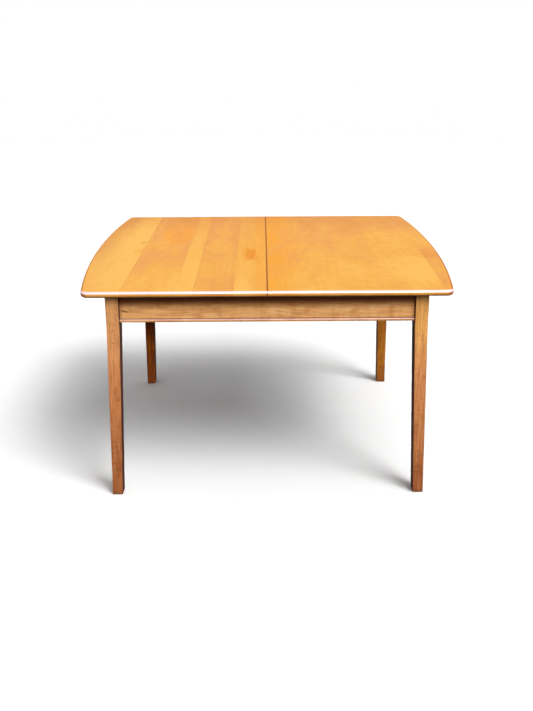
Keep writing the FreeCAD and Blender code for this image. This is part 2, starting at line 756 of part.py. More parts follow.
plates = {"front": [], "back": []}
hinge_screws = {"front": [], "back": []}
hinge_pins = []
THIRD = "hinge_length / 6"
for number, step in enumerate((-1, 0, 1), start=1):
    at = f"{step} * hinge_spacing"
    pin = fold_bar(f"hinge_pin_{number}", "hinge_pin_radius", at, "hinge_length / 2")
    hinge_pins.append(pin)
    clear = "knuckle_radius + knuckle_gap"
    inner_room = fold_bar(f"inner_knuckle_room_{number}", clear, at, f"{THIRD} + knuckle_gap")
    pin_room = fold_bar(f"hinge_pin_room_{number}", "hinge_pin_radius + pin_clearance / 2",
                        at, "hinge_length / 2")
    outer_rooms = [
        fold_bar(f"outer_knuckle_room_{number}{end}", clear,
                 f"{at} {end} 2 * ({THIRD})", THIRD)
        for end in "-+"
    ]
    outer = [
        fold_bar(f"outer_knuckle_{number}{end}", "knuckle_radius",
                 f"{at} {end} 2 * ({THIRD})", THIRD)
        for end in "-+"
    ]
    inner = fold_bar(f"inner_knuckle_{number}", "knuckle_radius", at, f"{THIRD} - knuckle_gap")
    for face, up, knuckles, gaps in (("front", 1, outer, [inner_room, pin]),
                                     ("back", -1, [inner], [*outer_rooms, pin_room])):
        screws = [
            screw(f"hinge_screw_{face}_{number}{end}",
                  (f"{at} {end} hinge_screw_offset", "fold_y + hinge_screw_y", "wing_face"),
                  (0, 0, up), "small_screw_length", "small_screw")
            for end in "-+"
        ]
        z = ("wing_face", "wing_face + hinge_leaf_thickness")
        if up < 0:
            z = ("wing_face - hinge_leaf_thickness", "wing_face")
        flat = block(f"hinge_flat_{face}_{number}", middle(at, "hinge_length / 2"),
                     ("fold_y", "fold_y + hinge_leaf_width"), z)
        rim = fold_bar(f"hinge_room_{face}_{number}", clear, at, "hinge_length / 2")
        plates[face].append(carved(f"hinge_plate_{face}_{number}", fused(
            f"hinge_plate_{face}_{number}_whole", [flat, *knuckles]), [*gaps, *screws]))
        hinge_screws[face] += screws
        room[face] += [flat, rim, *screws]
for face in plates:
    node(f"leaf_hinge_plates_{face}", grouped(f"leaf_hinge_plates_{face}", plates[face]))
node("leaf_hinge_pins", grouped("leaf_hinge_pins", hinge_pins))


# ---- ball catch in the front wing and its strike in the back wing --------------
barrel = rod("catch_barrel", "catch_radius", "catch_depth", ("0", "catch_y", "wing_face"),
             (0, 0, 1))
ball = doc.addObject("Part::Sphere", "catch_ball")
bind(ball, {"Radius": "catch_ball_radius"})
place(ball, "0", "catch_y", "wing_face + catch_ball_radius - catch_ball_rise")
node("leaf_catch", fused("leaf_catch", [barrel, ball]))
room["front"].append(barrel)
strike = block("strike_blank", middle("0", "strike_length / 2"),
               middle("catch_y", "strike_width / 2"),
               ("wing_face - strike_thickness", "wing_face"))
strike_hole = rod("strike_hole", "catch_ball_radius + strike_clearance", "strike_thickness",
                  ("0", "catch_y", "wing_face - strike_thickness"), (0, 0, 1))
strike_screws = [
    screw(f"strike_screw_{number}", (f"{end} * strike_screw_offset", "catch_y", "wing_face"),
          (0, 0, -1), "small_screw_length", "small_screw")
    for number, end in enumerate((-1, 1), start=1)
]
node("leaf_catch_strike", carved("leaf_catch_strike", strike, [strike_hole, *strike_screws]))
room["back"] += [strike, *strike_screws]
node("leaf_screws_front", grouped("leaf_screws_front", hinge_screws["front"]))
node("leaf_screws_back", grouped("leaf_screws_back", hinge_screws["back"] + strike_screws))


# ---- pivot blocks, pivot pins and the cleat that rests on the bearers ----------
pins = []
fixing_screws = []
for side, sign_x in SIDES:
    pin = side_bar(f"pivot_pin_{side}", sign_x, "pin_radius",
                   "leaf_half - pivot_block_length", "bearer_inner_x + pin_tail", *PIVOT)
    pins.append(pin)
    screws = [
        screw(f"pivot_block_screw_{side}_{number}",
              (f"{sign_x} * (leaf_half - pivot_block_length / 2)",
               f"pivot_y + {step} * bracket_screw_offset", "pack_head + pivot_block_height"),
              (0, 0, -1), "pivot_block_height + screw_hold")
        for number, step in enumerate((-1, 1), start=1)
    ]
    fixing_screws += screws
    riser = block(f"pivot_block_{side}_bar",
                  span(sign_x, "leaf_half - pivot_block_length", "leaf_half"),
                  middle("pivot_y", "pivot_block_half"),
                  ("pack_head", "pack_head + pivot_block_height"))
    node(f"pivot_block_{side}", carved(f"pivot_block_{side}", riser, [pin, *screws]))
node("pivot_pins", grouped("pivot_pins", pins))
cleat_screws = [
    screw(f"cleat_screw_{number}", (x, "cleat_offset", "pack_head + cleat_height"),
          (0, 0, -1), "cleat_height + screw_hold")
    for number, x in enumerate(spread("-cleat_screw_x", "cleat_screw_x", CLEAT_SCREWS), 1)
]
fixing_screws += cleat_screws
cleat = block("cleat_bar", ("-cleat_half", "cleat_half"),
              middle("cleat_offset", "cleat_width / 2"),
              ("pack_head", "pack_head + cleat_height"))
node("leaf_cleat", carved("leaf_cleat", cleat, cleat_screws))
node("leaf_fixing_screws", grouped("leaf_fixing_screws", fixing_screws))
room["front"] += fixing_screws
for face, foot in WING_FOOT.items():
    node(f"leaf_wing_{face}", carved(
        f"leaf_wing_{face}", wing_blank(f"wing_{face}", foot), room[face]))


# ---- check and write ------------------------------------------------------------
doc.recompute()
for item in doc.Objects:
    if "Invalid" in item.State or "Error" in item.State:
        raise ValueError(f"{item.Name} failed: {item.State}")
for item in nodes:
    if item.Shape.isNull() or not item.Shape.isValid() or not item.Shape.Solids:
        raise ValueError(f"{item.Label} has no valid shape")
os.makedirs("parts", exist_ok=True)
for item in nodes:
    item.Shape.exportStep(f"parts/{item.Label}.step")
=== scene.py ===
import math

import bpy
from mathutils import Matrix, Vector

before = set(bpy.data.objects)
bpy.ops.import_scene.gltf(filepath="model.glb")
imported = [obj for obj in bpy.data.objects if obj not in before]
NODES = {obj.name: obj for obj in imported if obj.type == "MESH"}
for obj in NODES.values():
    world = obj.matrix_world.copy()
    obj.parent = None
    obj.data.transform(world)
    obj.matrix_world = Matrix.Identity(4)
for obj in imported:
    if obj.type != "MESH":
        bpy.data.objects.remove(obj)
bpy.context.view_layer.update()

# ---- top halves -------------------------------------------------------------------
# Two glued-up panels of golden stained wood, with the grain running from front to back:
# five boards in the left one, a broad figured board and an end strip in the right one.
# A pale highlight is painted along the long edges, and painted shade darkens the faces
# turned downward. The faces of the bowed ends are darker, and the satin lacquer has aged
# toward the ends.
HALF_LENGTH = 0.6175
END_RADIUS = 2.430
TOP_DARK = (0.73, 0.288, 0.032)
TOP_PINK = (0.77, 0.325, 0.066)
TOP_GOLD = (0.81, 0.378, 0.052)
TOP_BRIGHT = (0.87, 0.460, 0.084)
TOP_AMBER = (0.84, 0.315, 0.004)
TOP_LINE = (0.46, 0.165, 0.030)
TOP_STAIN = (0.75, 0.252, 0.001)
PAINTED_EDGE_HIGHLIGHT = (0.95, 0.745, 0.880)
TOP_END_GRAIN = (0.62, 0.500, 0.420)
TOP_END_FACE = (0.66, 0.400, 0.240)
TOP_AGED = (0.78, 0.63, 0.56)
TOP_UNDER_SHADE = (0.26, 0.105, 0.044)
TOP_UNDER_SHADE_DARK = (0.17, 0.060, 0.022)
LEFT_JOINTS = (-0.447, -0.282, -0.228, -0.105)
LEFT_LEANS = (0.023, 0.018, 0.006, 0.0)
LEFT_TONES = (0.90, 0.34, 0.78, 0.34, 0.62)
LEFT_PITHS = (-0.56, -0.32, -0.10, -0.20, 0.06)
RIGHT_JOINTS = (0.555,)
RIGHT_LEANS = (0.0,)
RIGHT_TONES = (0.55, -0.04)
RIGHT_PITHS = (0.29, 0.29)
PITH_DEPTH = 0.690
LOG_LEAN = 0.055
TOP_RING = 0.0072
GLUE_EDGE = (0.0002, 0.0011)
MATCHED_BACK = (-0.10, 0.03)
MATCHED_FRONT = (-0.43, -0.36)
BLEACHED = (-0.42, 0.42)
WARM_FROM = 0.02
AGED_END = (-0.28, 0.08)
AGED_BACK = (0.20, 0.440)
STAIN_AT = (-0.055, -0.068)
STAIN_REACH = (0.027, 0.088)
AMBER_AT = (-0.337, 0.185)
AMBER_REACH = (0.080, 0.160)
CRACK_AT = (-0.460, 0.073)
CRACK_REACH = (0.0045, 0.021)
CRACK_LEAN = 0.686
SEAM_WOOD = (0.44, 0.130, 0.024)
SEAM_WOOD_EDGE = (0.0015, 0.0042)
SEAM_DIRT = (0.14, 0.036, 0.008)
SEAM_DIRT_EDGE = (0.0004, 0.0012)
FIBRE_DARK = (0.5, 0.85)
TOP_LACQUER = {"Specular IOR Level": 0.12}
EDGE_COAT = {"Coat Roughness": 0.22, "Coat IOR": 1.8}


def operator(operation):
    """A Math node as an operator of wires, and the operator's reflected form."""
    def plain(wire, other):
        return wire.finish.math(operation, wire, other)

    def reflected(wire, other):
        return wire.finish.math(operation, other, wire)

    return plain, reflected


class Wire:
    """The output of a node, with arithmetic that adds Math nodes."""

    __add__, __radd__ = operator("ADD")
    __sub__, __rsub__ = operator("SUBTRACT")
    __mul__, __rmul__ = operator("MULTIPLY")
    __truediv__, __rtruediv__ = operator("DIVIDE")
    __pow__, __rpow__ = operator("POWER")
    __gt__, __lt__ = operator("GREATER_THAN")

    def __init__(self, finish, socket):
        self.finish = finish
        self.socket = socket

    def __abs__(self):
        return self.finish.math("ABSOLUTE", self)


class Finish:
    """The nodes of a material or of the world."""

    def __init__(self, owner):
        owner.use_nodes = True
        self.owner = owner
        self.tree = owner.node_tree
        self.tree.nodes.clear()

    def node(self, kind, settings=None, sockets=None, out=0):
        """Adds a node: its settings first, then the values or links of its sockets."""
        made = self.tree.nodes.new(kind)
        for name, value in (settings or {}).items():
            if name == "stops":
                ramp = made.color_ramp.elements
                while len(ramp) < len(value):
                    ramp.new(0.5)
                for element, (position, colour) in zip(ramp, value):
                    element.position = position
                    element.color = (*colour, 1.0)
            else:
                setattr(made, name, value)
        for name, value in (sockets or {}).items():
            if isinstance(value, Wire):
                self.tree.links.new(value.socket, made.inputs[name])
            else:
                made.inputs[name].default_value = value
        return Wire(self, made.outputs[out] if made.outputs else None)

    def math(self, operation, *values):
        return self.node("ShaderNodeMath", {"operation": operation}, dict(enumerate(values)))

    def axes(self, output="Object"):
        """The three parts of a place on the piece, or of its normal."""
        whole = self.node("ShaderNodeTexCoord", out=output)
        return [self.node("ShaderNodeSeparateXYZ", sockets={0: whole}, out=n) for n in "XYZ"]

    def cloud(self, x, y, z, detail=2.0, roughness=0.5):
        """Soft noise around 0.5 at scaled coordinates."""
        place = self.node("ShaderNodeCombineXYZ", sockets={"X": x, "Y": y, "Z": z})
        return self.node("ShaderNodeTexNoise", sockets={
            "Vector": place, "Scale": 1.0, "Detail": detail, "Roughness": roughness})

    def fade(self, value, low, high, start=0.0, end=1.0):
        """Goes smoothly from start to end as a value goes from low to high."""
        return self.node("ShaderNodeMapRange", {"interpolation_type": "SMOOTHSTEP"}, {
            "Value": value, "From Min": low, "From Max": high, "To Min": start, "To Max": end})

    def ramp(self, value, stops):
        return self.node("ShaderNodeValToRGB", {"stops": stops}, {"Fac": value})

    def mix(self, factor, first, second, blend="MIX"):
        """Mixes two colours, each a wire or a plain triple."""
        colours = [c if isinstance(c, Wire) else (*c, 1.0) for c in (first, second)]
        return self.node("ShaderNodeMix", {"data_type": "RGBA", "blend_type": blend},
                         {0: factor, 6: colours[0], 7: colours[1]}, out=2)

    def spot(self, x, y, centre, reach, lean=0.0):
        """1 in an oval, fading to 0 at its rim."""
        return self.fade(oval(x, y, centre, reach, lean), 0.55, 1.0, 1.0, 0.0)

    def surface(self, colour, roughness, height, depth, others=None):
        """Ends the material in a Principled surface; others are its other sockets."""
        bump = self.node("ShaderNodeBump", sockets={
            "Strength": 1.0, "Distance": depth, "Height": height}, out="Normal")
        shader = self.node("ShaderNodeBsdfPrincipled", sockets={
            "Base Color": colour, "Roughness": roughness, "Normal": bump, **(others or {})})
        self.node("ShaderNodeOutputMaterial", sockets={"Surface": shader})
        return self.owner


def span(across, along):
    """The length of a line from its two parts at right angles."""
    return (across * across + along * along) ** 0.5


def oval(x, y, centre, reach, lean=0.0):
    """0 at the centre of an oval and 1 at its rim; it leans by so much x for each y."""
    along = y - centre[1]
    across = x - centre[0] - along * lean
    return span(across / reach[0], along / reach[1])


def growth_rings(finish, across, along, depth, pith, pith_depth, lean, ring):
    """0 in early wood, rising to 1 at each ring's late wood, for a board sawn from a log.

    pith and pith_depth are where the middle of the log lies across the board and in its
    depth, lean is how the log slants along the board, and ring is a ring's width.
    """
    warp = finish.cloud(across * 7.0, along * 2.2, depth * 7.0) - 0.5
    sway = finish.cloud(across * 1.3, along * 1.1, depth * 1.3 + 4.0, 1.0) - 0.5
    side = across - pith + sway * 0.11 + warp * 0.02
    deep = depth - pith_depth + along * lean + sway * 0.03
    ragged = finish.cloud(across * 45.0, along * 4.0, depth * 45.0)
    phase = finish.math("FRACT", span(side, deep) / ring + ragged * 0.5)
    return phase * phase * finish.fade(phase, 0.86, 1.0, 1.0, 0.0)


def fibres(finish, across, along, depth, fine=620.0, length=9.0):
    """Thin streaks along the grain."""
    return finish.cloud(across * fine, along * length, depth * fine, 3.0, 0.6)


def stepped(past, values, share=1.0):
    """A value for each board, changing at the joints; past is how far right of each."""
    total = values[0]
    for distance, before, after in zip(past, values, values[1:]):
        total = (distance > 0.0) * share * (after - before) + total
    return total


def warmed(finish, colour, x, patch, figure, reach, depth):
    """Turns the wood amber beside the seam, most in its brighter patches."""
    near = finish.fade(abs(x), WARM_FROM, reach, depth, 0.06)
    bright = finish.fade(patch, -0.30, 0.08) * finish.fade(figure, -0.16, 0.10, 0.55, 1.0)
    return finish.mix(near * bright, colour, TOP_AMBER)


def aged(finish, colour, x, y, patch, reach):
    """Browns the wood along the bowed end, and toward the back edge."""
    from_end = END_RADIUS - span(abs(x) + (END_RADIUS - HALF_LENGTH), y)
    at_end = finish.fade(from_end, 0.0, reach, 1.0, 0.0) * finish.fade(y, *AGED_END, 0.30)
    at_back = finish.fade(y, *AGED_BACK, 0.0, 0.45)
    uneven = finish.fade(patch, -0.25, 0.12, 0.6, 1.0)
    return finish.mix((at_end + at_back) * uneven, colour, TOP_AGED, "MULTIPLY")


def marked(finish, colour, x, y, z, patch):
    """Adds a stain near the seam, an amber cloud and a short slanting crack."""
    ragged = finish.cloud(x * 48.0, y * 20.0, z, 3.0, 0.6) - 0.5
    drop = oval(x, y, STAIN_AT, STAIN_REACH) + ragged * 2.6
    colour = finish.mix(finish.fade(drop, 0.30, 2.2, 0.42, 0.0), colour, TOP_STAIN)
    colour = finish.mix(finish.fade(drop, 0.45, 0.90, 0.95, 0.0), colour, TOP_STAIN)
    amber = finish.spot(x + ragged * 0.05, y + ragged * 0.12, AMBER_AT, AMBER_REACH)
    amber = amber * finish.fade(patch, -0.20, 0.12)
    colour = finish.mix(amber * 0.60, colour, TOP_AMBER)
    crack = finish.spot(x, y, CRACK_AT, CRACK_REACH, CRACK_LEAN)
    return finish.mix(crack * 0.90, colour, TOP_LINE)


def seamed(finish, colour, x):
    """Darkens the worn wood beside the seam, and the dirt in it."""
    worn = finish.fade(abs(x), *SEAM_WOOD_EDGE, 0.85, 0.0)
    dirt = finish.fade(abs(x), *SEAM_DIRT_EDGE, 1.0, 0.0)
    return finish.mix(dirt, finish.mix(worn, colour, SEAM_WOOD), SEAM_DIRT)


def edged(finish, colour, under):
    """Gives the panel's end grain its colour, darkens the faces of its bowed ends, paints
    shade on the faces turned downward, and paints a pale highlight on its long edges.

    Returns the colour, and the shares of the painted edge highlight, which also gets the
    coat, and of the bowed end faces.
    """
    normal_x, normal_y, normal_z = finish.axes("Normal")
    end_grain = finish.fade(abs(normal_y), 0.25, 0.8)
    colour = finish.mix(end_grain * 0.45, colour, TOP_END_GRAIN, "MULTIPLY")
    # The faces of the bowed ends, which look sideways, are made darker.
    end_face = finish.fade(abs(normal_x), 0.06, 0.40)
    colour = finish.mix(end_face, colour, TOP_END_FACE, "MULTIPLY")
    # Painted shade: faces that turn downward, on the lower edges and the underside, are mixed
    # toward dark brown.
    colour = finish.mix(finish.fade(normal_z, -0.45, 0.16, 0.92, 0.0), colour, under)
    # Painted highlight: the front long edge, and the back one a third as much, turn pale pink
    # as if a lamp glints on them; the same share gets the coat.
    front_edge = finish.fade(normal_y, -0.32, -0.14, 1.0, 0.0)
    back_edge = finish.fade(normal_y, 0.08, 0.30, 0.0, 0.3)
    painted_highlight_and_coat = (front_edge + back_edge) * finish.fade(normal_z, -0.02, 0.40)
    return finish.mix(painted_highlight_and_coat * 0.7, colour, PAINTED_EDGE_HIGHLIGHT), painted_highlight_and_coat, end_face


def panel_wood(name, joints, leans, tones, piths, drift, curl, rings, seam=False,
               warm_reach=0.0, warm_depth=0.0, aged_reach=0.0, marks=False,
               well_matched=False):
    """Golden panel wood with the grain along Y, in boards whose joints may lean a little.

    Each joint has its place in x and its lean, each board its tone and its pith. curl
    and rings are how strongly the figure across the grain and the growth rings show,
    and drift moves the noise, so that no two panels are alike.
    """
    finish = Finish(bpy.data.materials.new(name))
    x, y, z = finish.axes()
    past = [x - y * lean - joint for joint, lean in zip(joints, leans)]
    joint_shows = 1.0
    if well_matched:
        joint_shows = (finish.fade(y, *MATCHED_BACK, 1.0, 0.0)
                       * finish.fade(y, *MATCHED_FRONT, 0.2, 1.0))
    tone = stepped(past, tones, joint_shows)
    pith = stepped(past, piths)
    shift = pith * 3.7 + drift
    patch = finish.cloud(x * 11.0, y * 5.0 + shift, z, 3.0, 0.6) - 0.5
    broad = finish.cloud(x * 3.6, y * 1.9 + shift, z, 1.0) - 0.5
    figure = finish.cloud(x * 15.0 + shift, y * 58.0, z * 16.0, 3.0, 0.6) - 0.5
    grain = finish.cloud(x * 150.0, y * 3.0 + shift, z * 150.0, 4.0, 0.65) - 0.5
    bleached = finish.fade(y, *BLEACHED, 0.15, -0.15)
    level = patch * 1.30 + broad * 0.9 + figure * curl + grain * 0.5 + tone + bleached
    colour = finish.ramp(level, ((0.0, TOP_DARK), (0.28, TOP_PINK), (0.58, TOP_GOLD),
                                 (0.92, TOP_BRIGHT)))
    line = growth_rings(finish, x, y + shift, z, pith, PITH_DEPTH, LOG_LEAN, TOP_RING)
    colour = finish.mix(line * rings, colour, TOP_LINE)
    streak = fibres(finish, x, y, z)
    colour = finish.mix(finish.fade(streak, *FIBRE_DARK, 0.0, 0.20), colour, TOP_DARK)
    for distance in past:
        glue = finish.fade(abs(distance), *GLUE_EDGE, 0.34, 0.0) * joint_shows
        colour = finish.mix(glue, colour, TOP_LINE)
    if warm_reach:
        colour = warmed(finish, colour, x, patch, figure, warm_reach, warm_depth)
    if aged_reach:
        colour = aged(finish, colour, x, y, patch, aged_reach)
    if marks:
        colour = marked(finish, colour, x, y, z, patch)
    if seam:
        colour = seamed(finish, colour, x)
    # The colour of the painted shade on the faces that turn downward, uneven with the figure.
    under_shade_tone = finish.fade(patch * 0.8 + grain, -0.22, 0.22)
    under = finish.mix(under_shade_tone, TOP_UNDER_SHADE_DARK, TOP_UNDER_SHADE)
    colour, painted_highlight_and_coat, end_face = edged(finish, colour, under)
    satin = finish.cloud(x * 22.0, y * 9.0, z) * 0.12 + 0.40
    roughness = satin - painted_highlight_and_coat * 0.2 + end_face * 0.5 + line * 0.05
    return finish.surface(colour, roughness, height=streak * 0.4 + line * 0.6, depth=0.00006,
                          others={"Coat Weight": painted_highlight_and_coat, **EDGE_COAT, **TOP_LACQUER})


def named(*starts):
    """The nodes whose names start in one of these ways, without their screws."""
    return [node for node in NODES if node.startswith(starts) and "screws" not in node]


def dressed(nodes, material):
    """Gives CAD nodes a material."""
    for name in nodes:
        for slot in NODES[name].material_slots:
            slot.material = material


dressed(["top_left"], panel_wood(
    "golden_left_panel", LEFT_JOINTS, LEFT_LEANS, LEFT_TONES, LEFT_PITHS, drift=4.6,
    curl=0.50, rings=0.06, seam=True, warm_reach=0.055, warm_depth=0.62, aged_reach=0.110,
    marks=True))
dressed(["top_right"], panel_wood(
    "golden_right_panel", RIGHT_JOINTS, RIGHT_LEANS, RIGHT_TONES, RIGHT_PITHS, drift=13.8,
    curl=0.62, rings=0.05, seam=True, warm_reach=0.14, warm_depth=0.82, aged_reach=0.014,
    well_matched=True))

# ---- folding leaf -----------------------------------------------------------------
# Two wings of the same wood as the top, each glued up from three boards, and kept folded
# in the frame with their show faces inward. They have seen less light, so they are a
# little paler and cleaner than the top.
dressed(named("leaf_wing"), panel_wood(
    "golden_leaf", joints=(-0.085, 0.115), leans=(0.0, 0.0), tones=(0.55, 0.72, 0.50),
    piths=(-0.20, 0.03, 0.22), drift=0.0, curl=0.30, rings=0.10))

# ---- aprons and beads -------------------------------------------------------------
# Four boards of honey stained wood, tenoned into the legs with the grain along them,
# each with a rounded bead glued under its lower edge. They are browner than the top,
# streaky and cloudy. Painted shade darkens each board under the overhanging top, above
# its bead and beside the legs, and a painted highlight runs along the top of each bead.
RAIL_DARK = (0.48, 0.200, 0.062)
RAIL_MID = (0.750, 0.366, 0.128)
RAIL_LIGHT = (0.870, 0.510, 0.222)
RAIL_LINE = (0.24, 0.080, 0.022)
RAIL_RED = (0.46, 0.160, 0.045)
# The colour of the painted shade on the aprons.
RAIL_PAINTED_SHADE = (0.120, 0.020, 0.001)
RAIL_FOOT = 0.623
RAIL_END = {"X": 0.474, "Y": 0.342}
OVERHANG_SHADOW = (0.652, 0.690)
KNOT_DARK = (0.13, 0.040, 0.016)
KNOT_AT = (0.651, -0.459)
KNOT_REACH = (0.0040, 0.015)
KNOT_LEAN = -0.28
LACQUER = {"Specular IOR Level": 0.15}


def rail_wood(name, along_axis, bright=0.0, knot=False, bead=False):
    """Honey stained rail wood with the grain along X or Y."""
    finish = Finish(bpy.data.materials.new(name))
    x, y, z = finish.axes()
    along, depth = (x, y) if along_axis == "X" else (y, x)
    up = z + (finish.cloud(along * 3.0, depth, z * 2.0, 1.0) - 0.5) * 0.05
    patch = finish.cloud(along * 11.0, depth * 8.0, up * 45.0, 3.0, 0.6) - 0.5
    grain = finish.cloud(along * 5.0, depth * 140.0, up * 300.0, 4.0, 0.7) - 0.5
    curl = finish.cloud(along * 60.0, depth * 9.0, up * 18.0) - 0.5
    level = patch * 1.25 + grain * 0.95 + curl * 0.45 + (0.5 + bright)
    colour = finish.ramp(level, ((0.05, RAIL_DARK), (0.46, RAIL_MID), (0.88, RAIL_LIGHT)))
    line = growth_rings(finish, up, along, depth, pith=0.70, pith_depth=-0.33, lean=0.07,
                        ring=0.0105)
    colour = finish.mix(line * 0.22, colour, RAIL_LINE)
    blush = finish.cloud(along * 17.0 + 5.0, depth * 9.0, up * 30.0)
    colour = finish.mix(finish.fade(blush, 0.55, 0.75, 0.0, 0.5), colour, RAIL_RED)
    streak = fibres(finish, z, along, depth)
    colour = finish.mix(finish.fade(streak, *FIBRE_DARK, 0.0, 0.30), colour, RAIL_DARK)
    if knot:
        swirl = finish.spot(z, x, KNOT_AT, KNOT_REACH, KNOT_LEAN)
        colour = finish.mix(swirl * 0.80, colour, KNOT_DARK)
    satin = finish.cloud(along * 9.0, depth * 9.0, z * 30.0) * 0.14 + 0.40
    if bead:
        # Painted highlight: the rounded top of the bead turns pale pink as if a lamp glints on
        # it; the same share gets the coat.
        painted_highlight_and_coat = finish.fade(finish.axes("Normal")[2], 0.30, 0.75)
        colour = finish.mix(painted_highlight_and_coat * 0.42, colour, PAINTED_EDGE_HIGHLIGHT)
        return finish.surface(colour, satin, height=streak * 0.5, depth=0.00006,
                              others={"Coat Weight": painted_highlight_and_coat, **EDGE_COAT, **LACQUER})
    from_end = RAIL_END[along_axis] - abs(along)
    # Painted shadow: the top of each board darkens where the overhanging top shades it.
    overhang_shadow = finish.fade(z, *OVERHANG_SHADOW, 0.0, 0.93)
    # Painted shade: a dark line just above the bead, where it meets the board.
    groove_shade = finish.fade(z - RAIL_FOOT, 0.001, 0.005, 0.75, 0.0)
    # Painted shade beside the legs: a soft darkening near each end of the board, and a dark
    # line right at the joint.
    corner = finish.fade(from_end, 0.002, 0.016, 0.32, 0.0)
    junction_shade = finish.fade(from_end, 0.0005, 0.0030, 0.80, 0.0)
    for painted_shade in (overhang_shadow, groove_shade, corner, junction_shade):
        colour = finish.mix(painted_shade, colour, RAIL_PAINTED_SHADE)
    return finish.surface(colour, satin, height=streak * 0.5 + line * 0.5, depth=0.00008,
                          others=LACQUER)


dressed(["apron_front"], rail_wood("honey_front_apron", "X", knot=True))
dressed(["apron_back"], rail_wood("honey_back_apron", "X", bright=-0.14))
dressed(["apron_left", "apron_right"], rail_wood("honey_end_apron", "Y", bright=-0.14))
dressed(["bead_front", "bead_back"], rail_wood("honey_long_bead", "X", bright=-0.22,
                                               bead=True))
dressed(["bead_left", "bead_right"], rail_wood("honey_end_bead", "Y", bright=-0.26,
                                               bead=True))

# ---- legs -------------------------------------------------------------------------
# Four solid straight-grained legs, tapered below the aprons and bolted to the corner
# blocks. The front pair goes from honey at the head to a dark red at the worn foot. Of
# the back pair one leg is amber, and the other has a deeper red version of that wood which
# paints the shade on it. Painted shade darkens the faces that look in toward the middle.
LEG_TALL = 0.7235
BETWEEN_LEGS = (-0.4, 0.4)
HONEY_TONES = ((0.0, (0.81, 0.415, 0.172)), (0.24, (0.82, 0.402, 0.154)),
               (0.52, (0.58, 0.222, 0.080)), (0.82, (0.48, 0.168, 0.056)),
               (0.98, (0.33, 0.100, 0.032)))
AMBER_TONES = ((0.0, (0.50, 0.205, 0.012)), (0.60, (0.52, 0.172, 0.012)),
               (1.0, (0.38, 0.110, 0.012)))
# A deeper red version of the back leg wood for the back left leg, which paints the shade that
# falls on it.
RUSSET_SHADE_TONES = ((0.0, (0.60, 0.142, 0.008)), (0.55, (0.47, 0.094, 0.006)),
                (1.0, (0.30, 0.056, 0.006)))
HONEY_RUB = (0.76, 0.400, 0.150)
AMBER_RUB = (0.66, 0.300, 0.016)
RUSSET_SHADE_RUB = (0.74, 0.200, 0.004)
LEG_LINE = (0.17, 0.052, 0.016)
LEG_GOLDEN = (0.98, 0.94, 0.50)
LEG_SCUFF = (0.11, 0.045, 0.022)
# The colour of the painted shade on the legs' inner faces.
LEG_PAINTED_SHADE = (0.075, 0.024, 0.026)


def leg_wood(name, tones, rub, bold):
    """Leg wood in tones from head to foot; bold is how strongly its broad bands show."""
    finish = Finish(bpy.data.materials.new(name))
    x, y, z = finish.axes()
    right = finish.fade(x, *BETWEEN_LEGS)
    shade = finish.cloud(x * 8.0, y * 8.0, z * 5.0) - 0.5
    left_darker = finish.fade(x, *BETWEEN_LEGS, 0.19, 0.06)
    right_foot = finish.fade(z, 0.01, 0.12, 0.05, 0.0) * right
    down = 1.0 - z / LEG_TALL + shade * 0.30 + left_darker + right_foot
    colour = finish.ramp(down, tones)
    golden = right * finish.fade(z, 0.35, 0.65, 0.0, 0.72)
    colour = finish.mix(golden, colour, LEG_GOLDEN, "MULTIPLY")
    sway = finish.cloud(x * 2.0, y * 2.0, z * 2.5, 1.0) * 0.02
    grain = finish.cloud((x + sway) * 260.0, y * 260.0, z * 5.0, 4.0, 0.7)
    colour = finish.mix(finish.fade(grain, 0.46, 0.66, 0.0, 0.50), colour, LEG_LINE)
    band = finish.cloud((x + sway) * 130.0, y * 130.0, z * 4.0 + 3.0)
    colour = finish.mix(finish.fade(band, 0.38, 0.54, bold, 0.0), colour, LEG_LINE)
    colour = finish.mix(finish.fade(band, 0.52, 0.66, 0.0, bold), colour, rub)
    colour = finish.mix(finish.fade(grain, 0.30, 0.44, 0.40, 0.0), colour, rub)
    ripple = finish.cloud(x * 40.0, y * 40.0, z * 110.0, 3.0, 0.65)
    low = finish.fade(z, 0.05, 0.50, 1.0, 0.25)
    colour = finish.mix(finish.fade(ripple, 0.48, 0.70, 0.0, 0.62) * low, colour, LEG_LINE)
    streak = fibres(finish, x, z, y, fine=520.0, length=7.0)
    colour = finish.mix(finish.fade(streak, 0.48, 0.85, 0.0, 0.50), colour, LEG_LINE)
    speck = finish.cloud(x * 190.0, y * 190.0, z * 60.0, 1.0)
    colour = finish.mix(finish.fade(speck, 0.68, 0.76, 0.0, 0.75), colour, LEG_LINE)
    knock = finish.cloud(x * 95.0, y * 95.0, z * 42.0 + 9.0, 1.0)
    dent = finish.fade(knock, 0.72, 0.80) * finish.fade(z, 0.02, 0.45, 1.0, 0.35)
    colour = finish.mix(dent * 0.35, colour, rub)
    colour = finish.mix(finish.fade(z, 0.001, 0.016, 0.60, 0.0), colour, LEG_SCUFF)
    # Painted shade: the faces that look in toward the middle of the table are darkened, a
    # little more beside the aprons.
    inward = finish.fade(finish.axes("Normal")[0] * x, -0.42, -0.18, 1.0, 0.0)
    painted_shade = inward * finish.fade(z, 0.600, 0.625, 0.82, 0.95)
    colour = finish.mix(painted_shade, colour, LEG_PAINTED_SHADE)
    satin = finish.cloud(x * 20.0, y * 20.0, z * 8.0) * 0.16 + 0.42
    return finish.surface(colour, satin, height=streak * 0.5 + grain * 0.4 - dent * 1.5,
                          depth=0.00010, others=LACQUER)


dressed(["leg_front_left", "leg_front_right"],
        leg_wood("honey_leg", HONEY_TONES, HONEY_RUB, bold=0.13))
dressed(["leg_back_right"], leg_wood("amber_leg", AMBER_TONES, AMBER_RUB, bold=0.28))
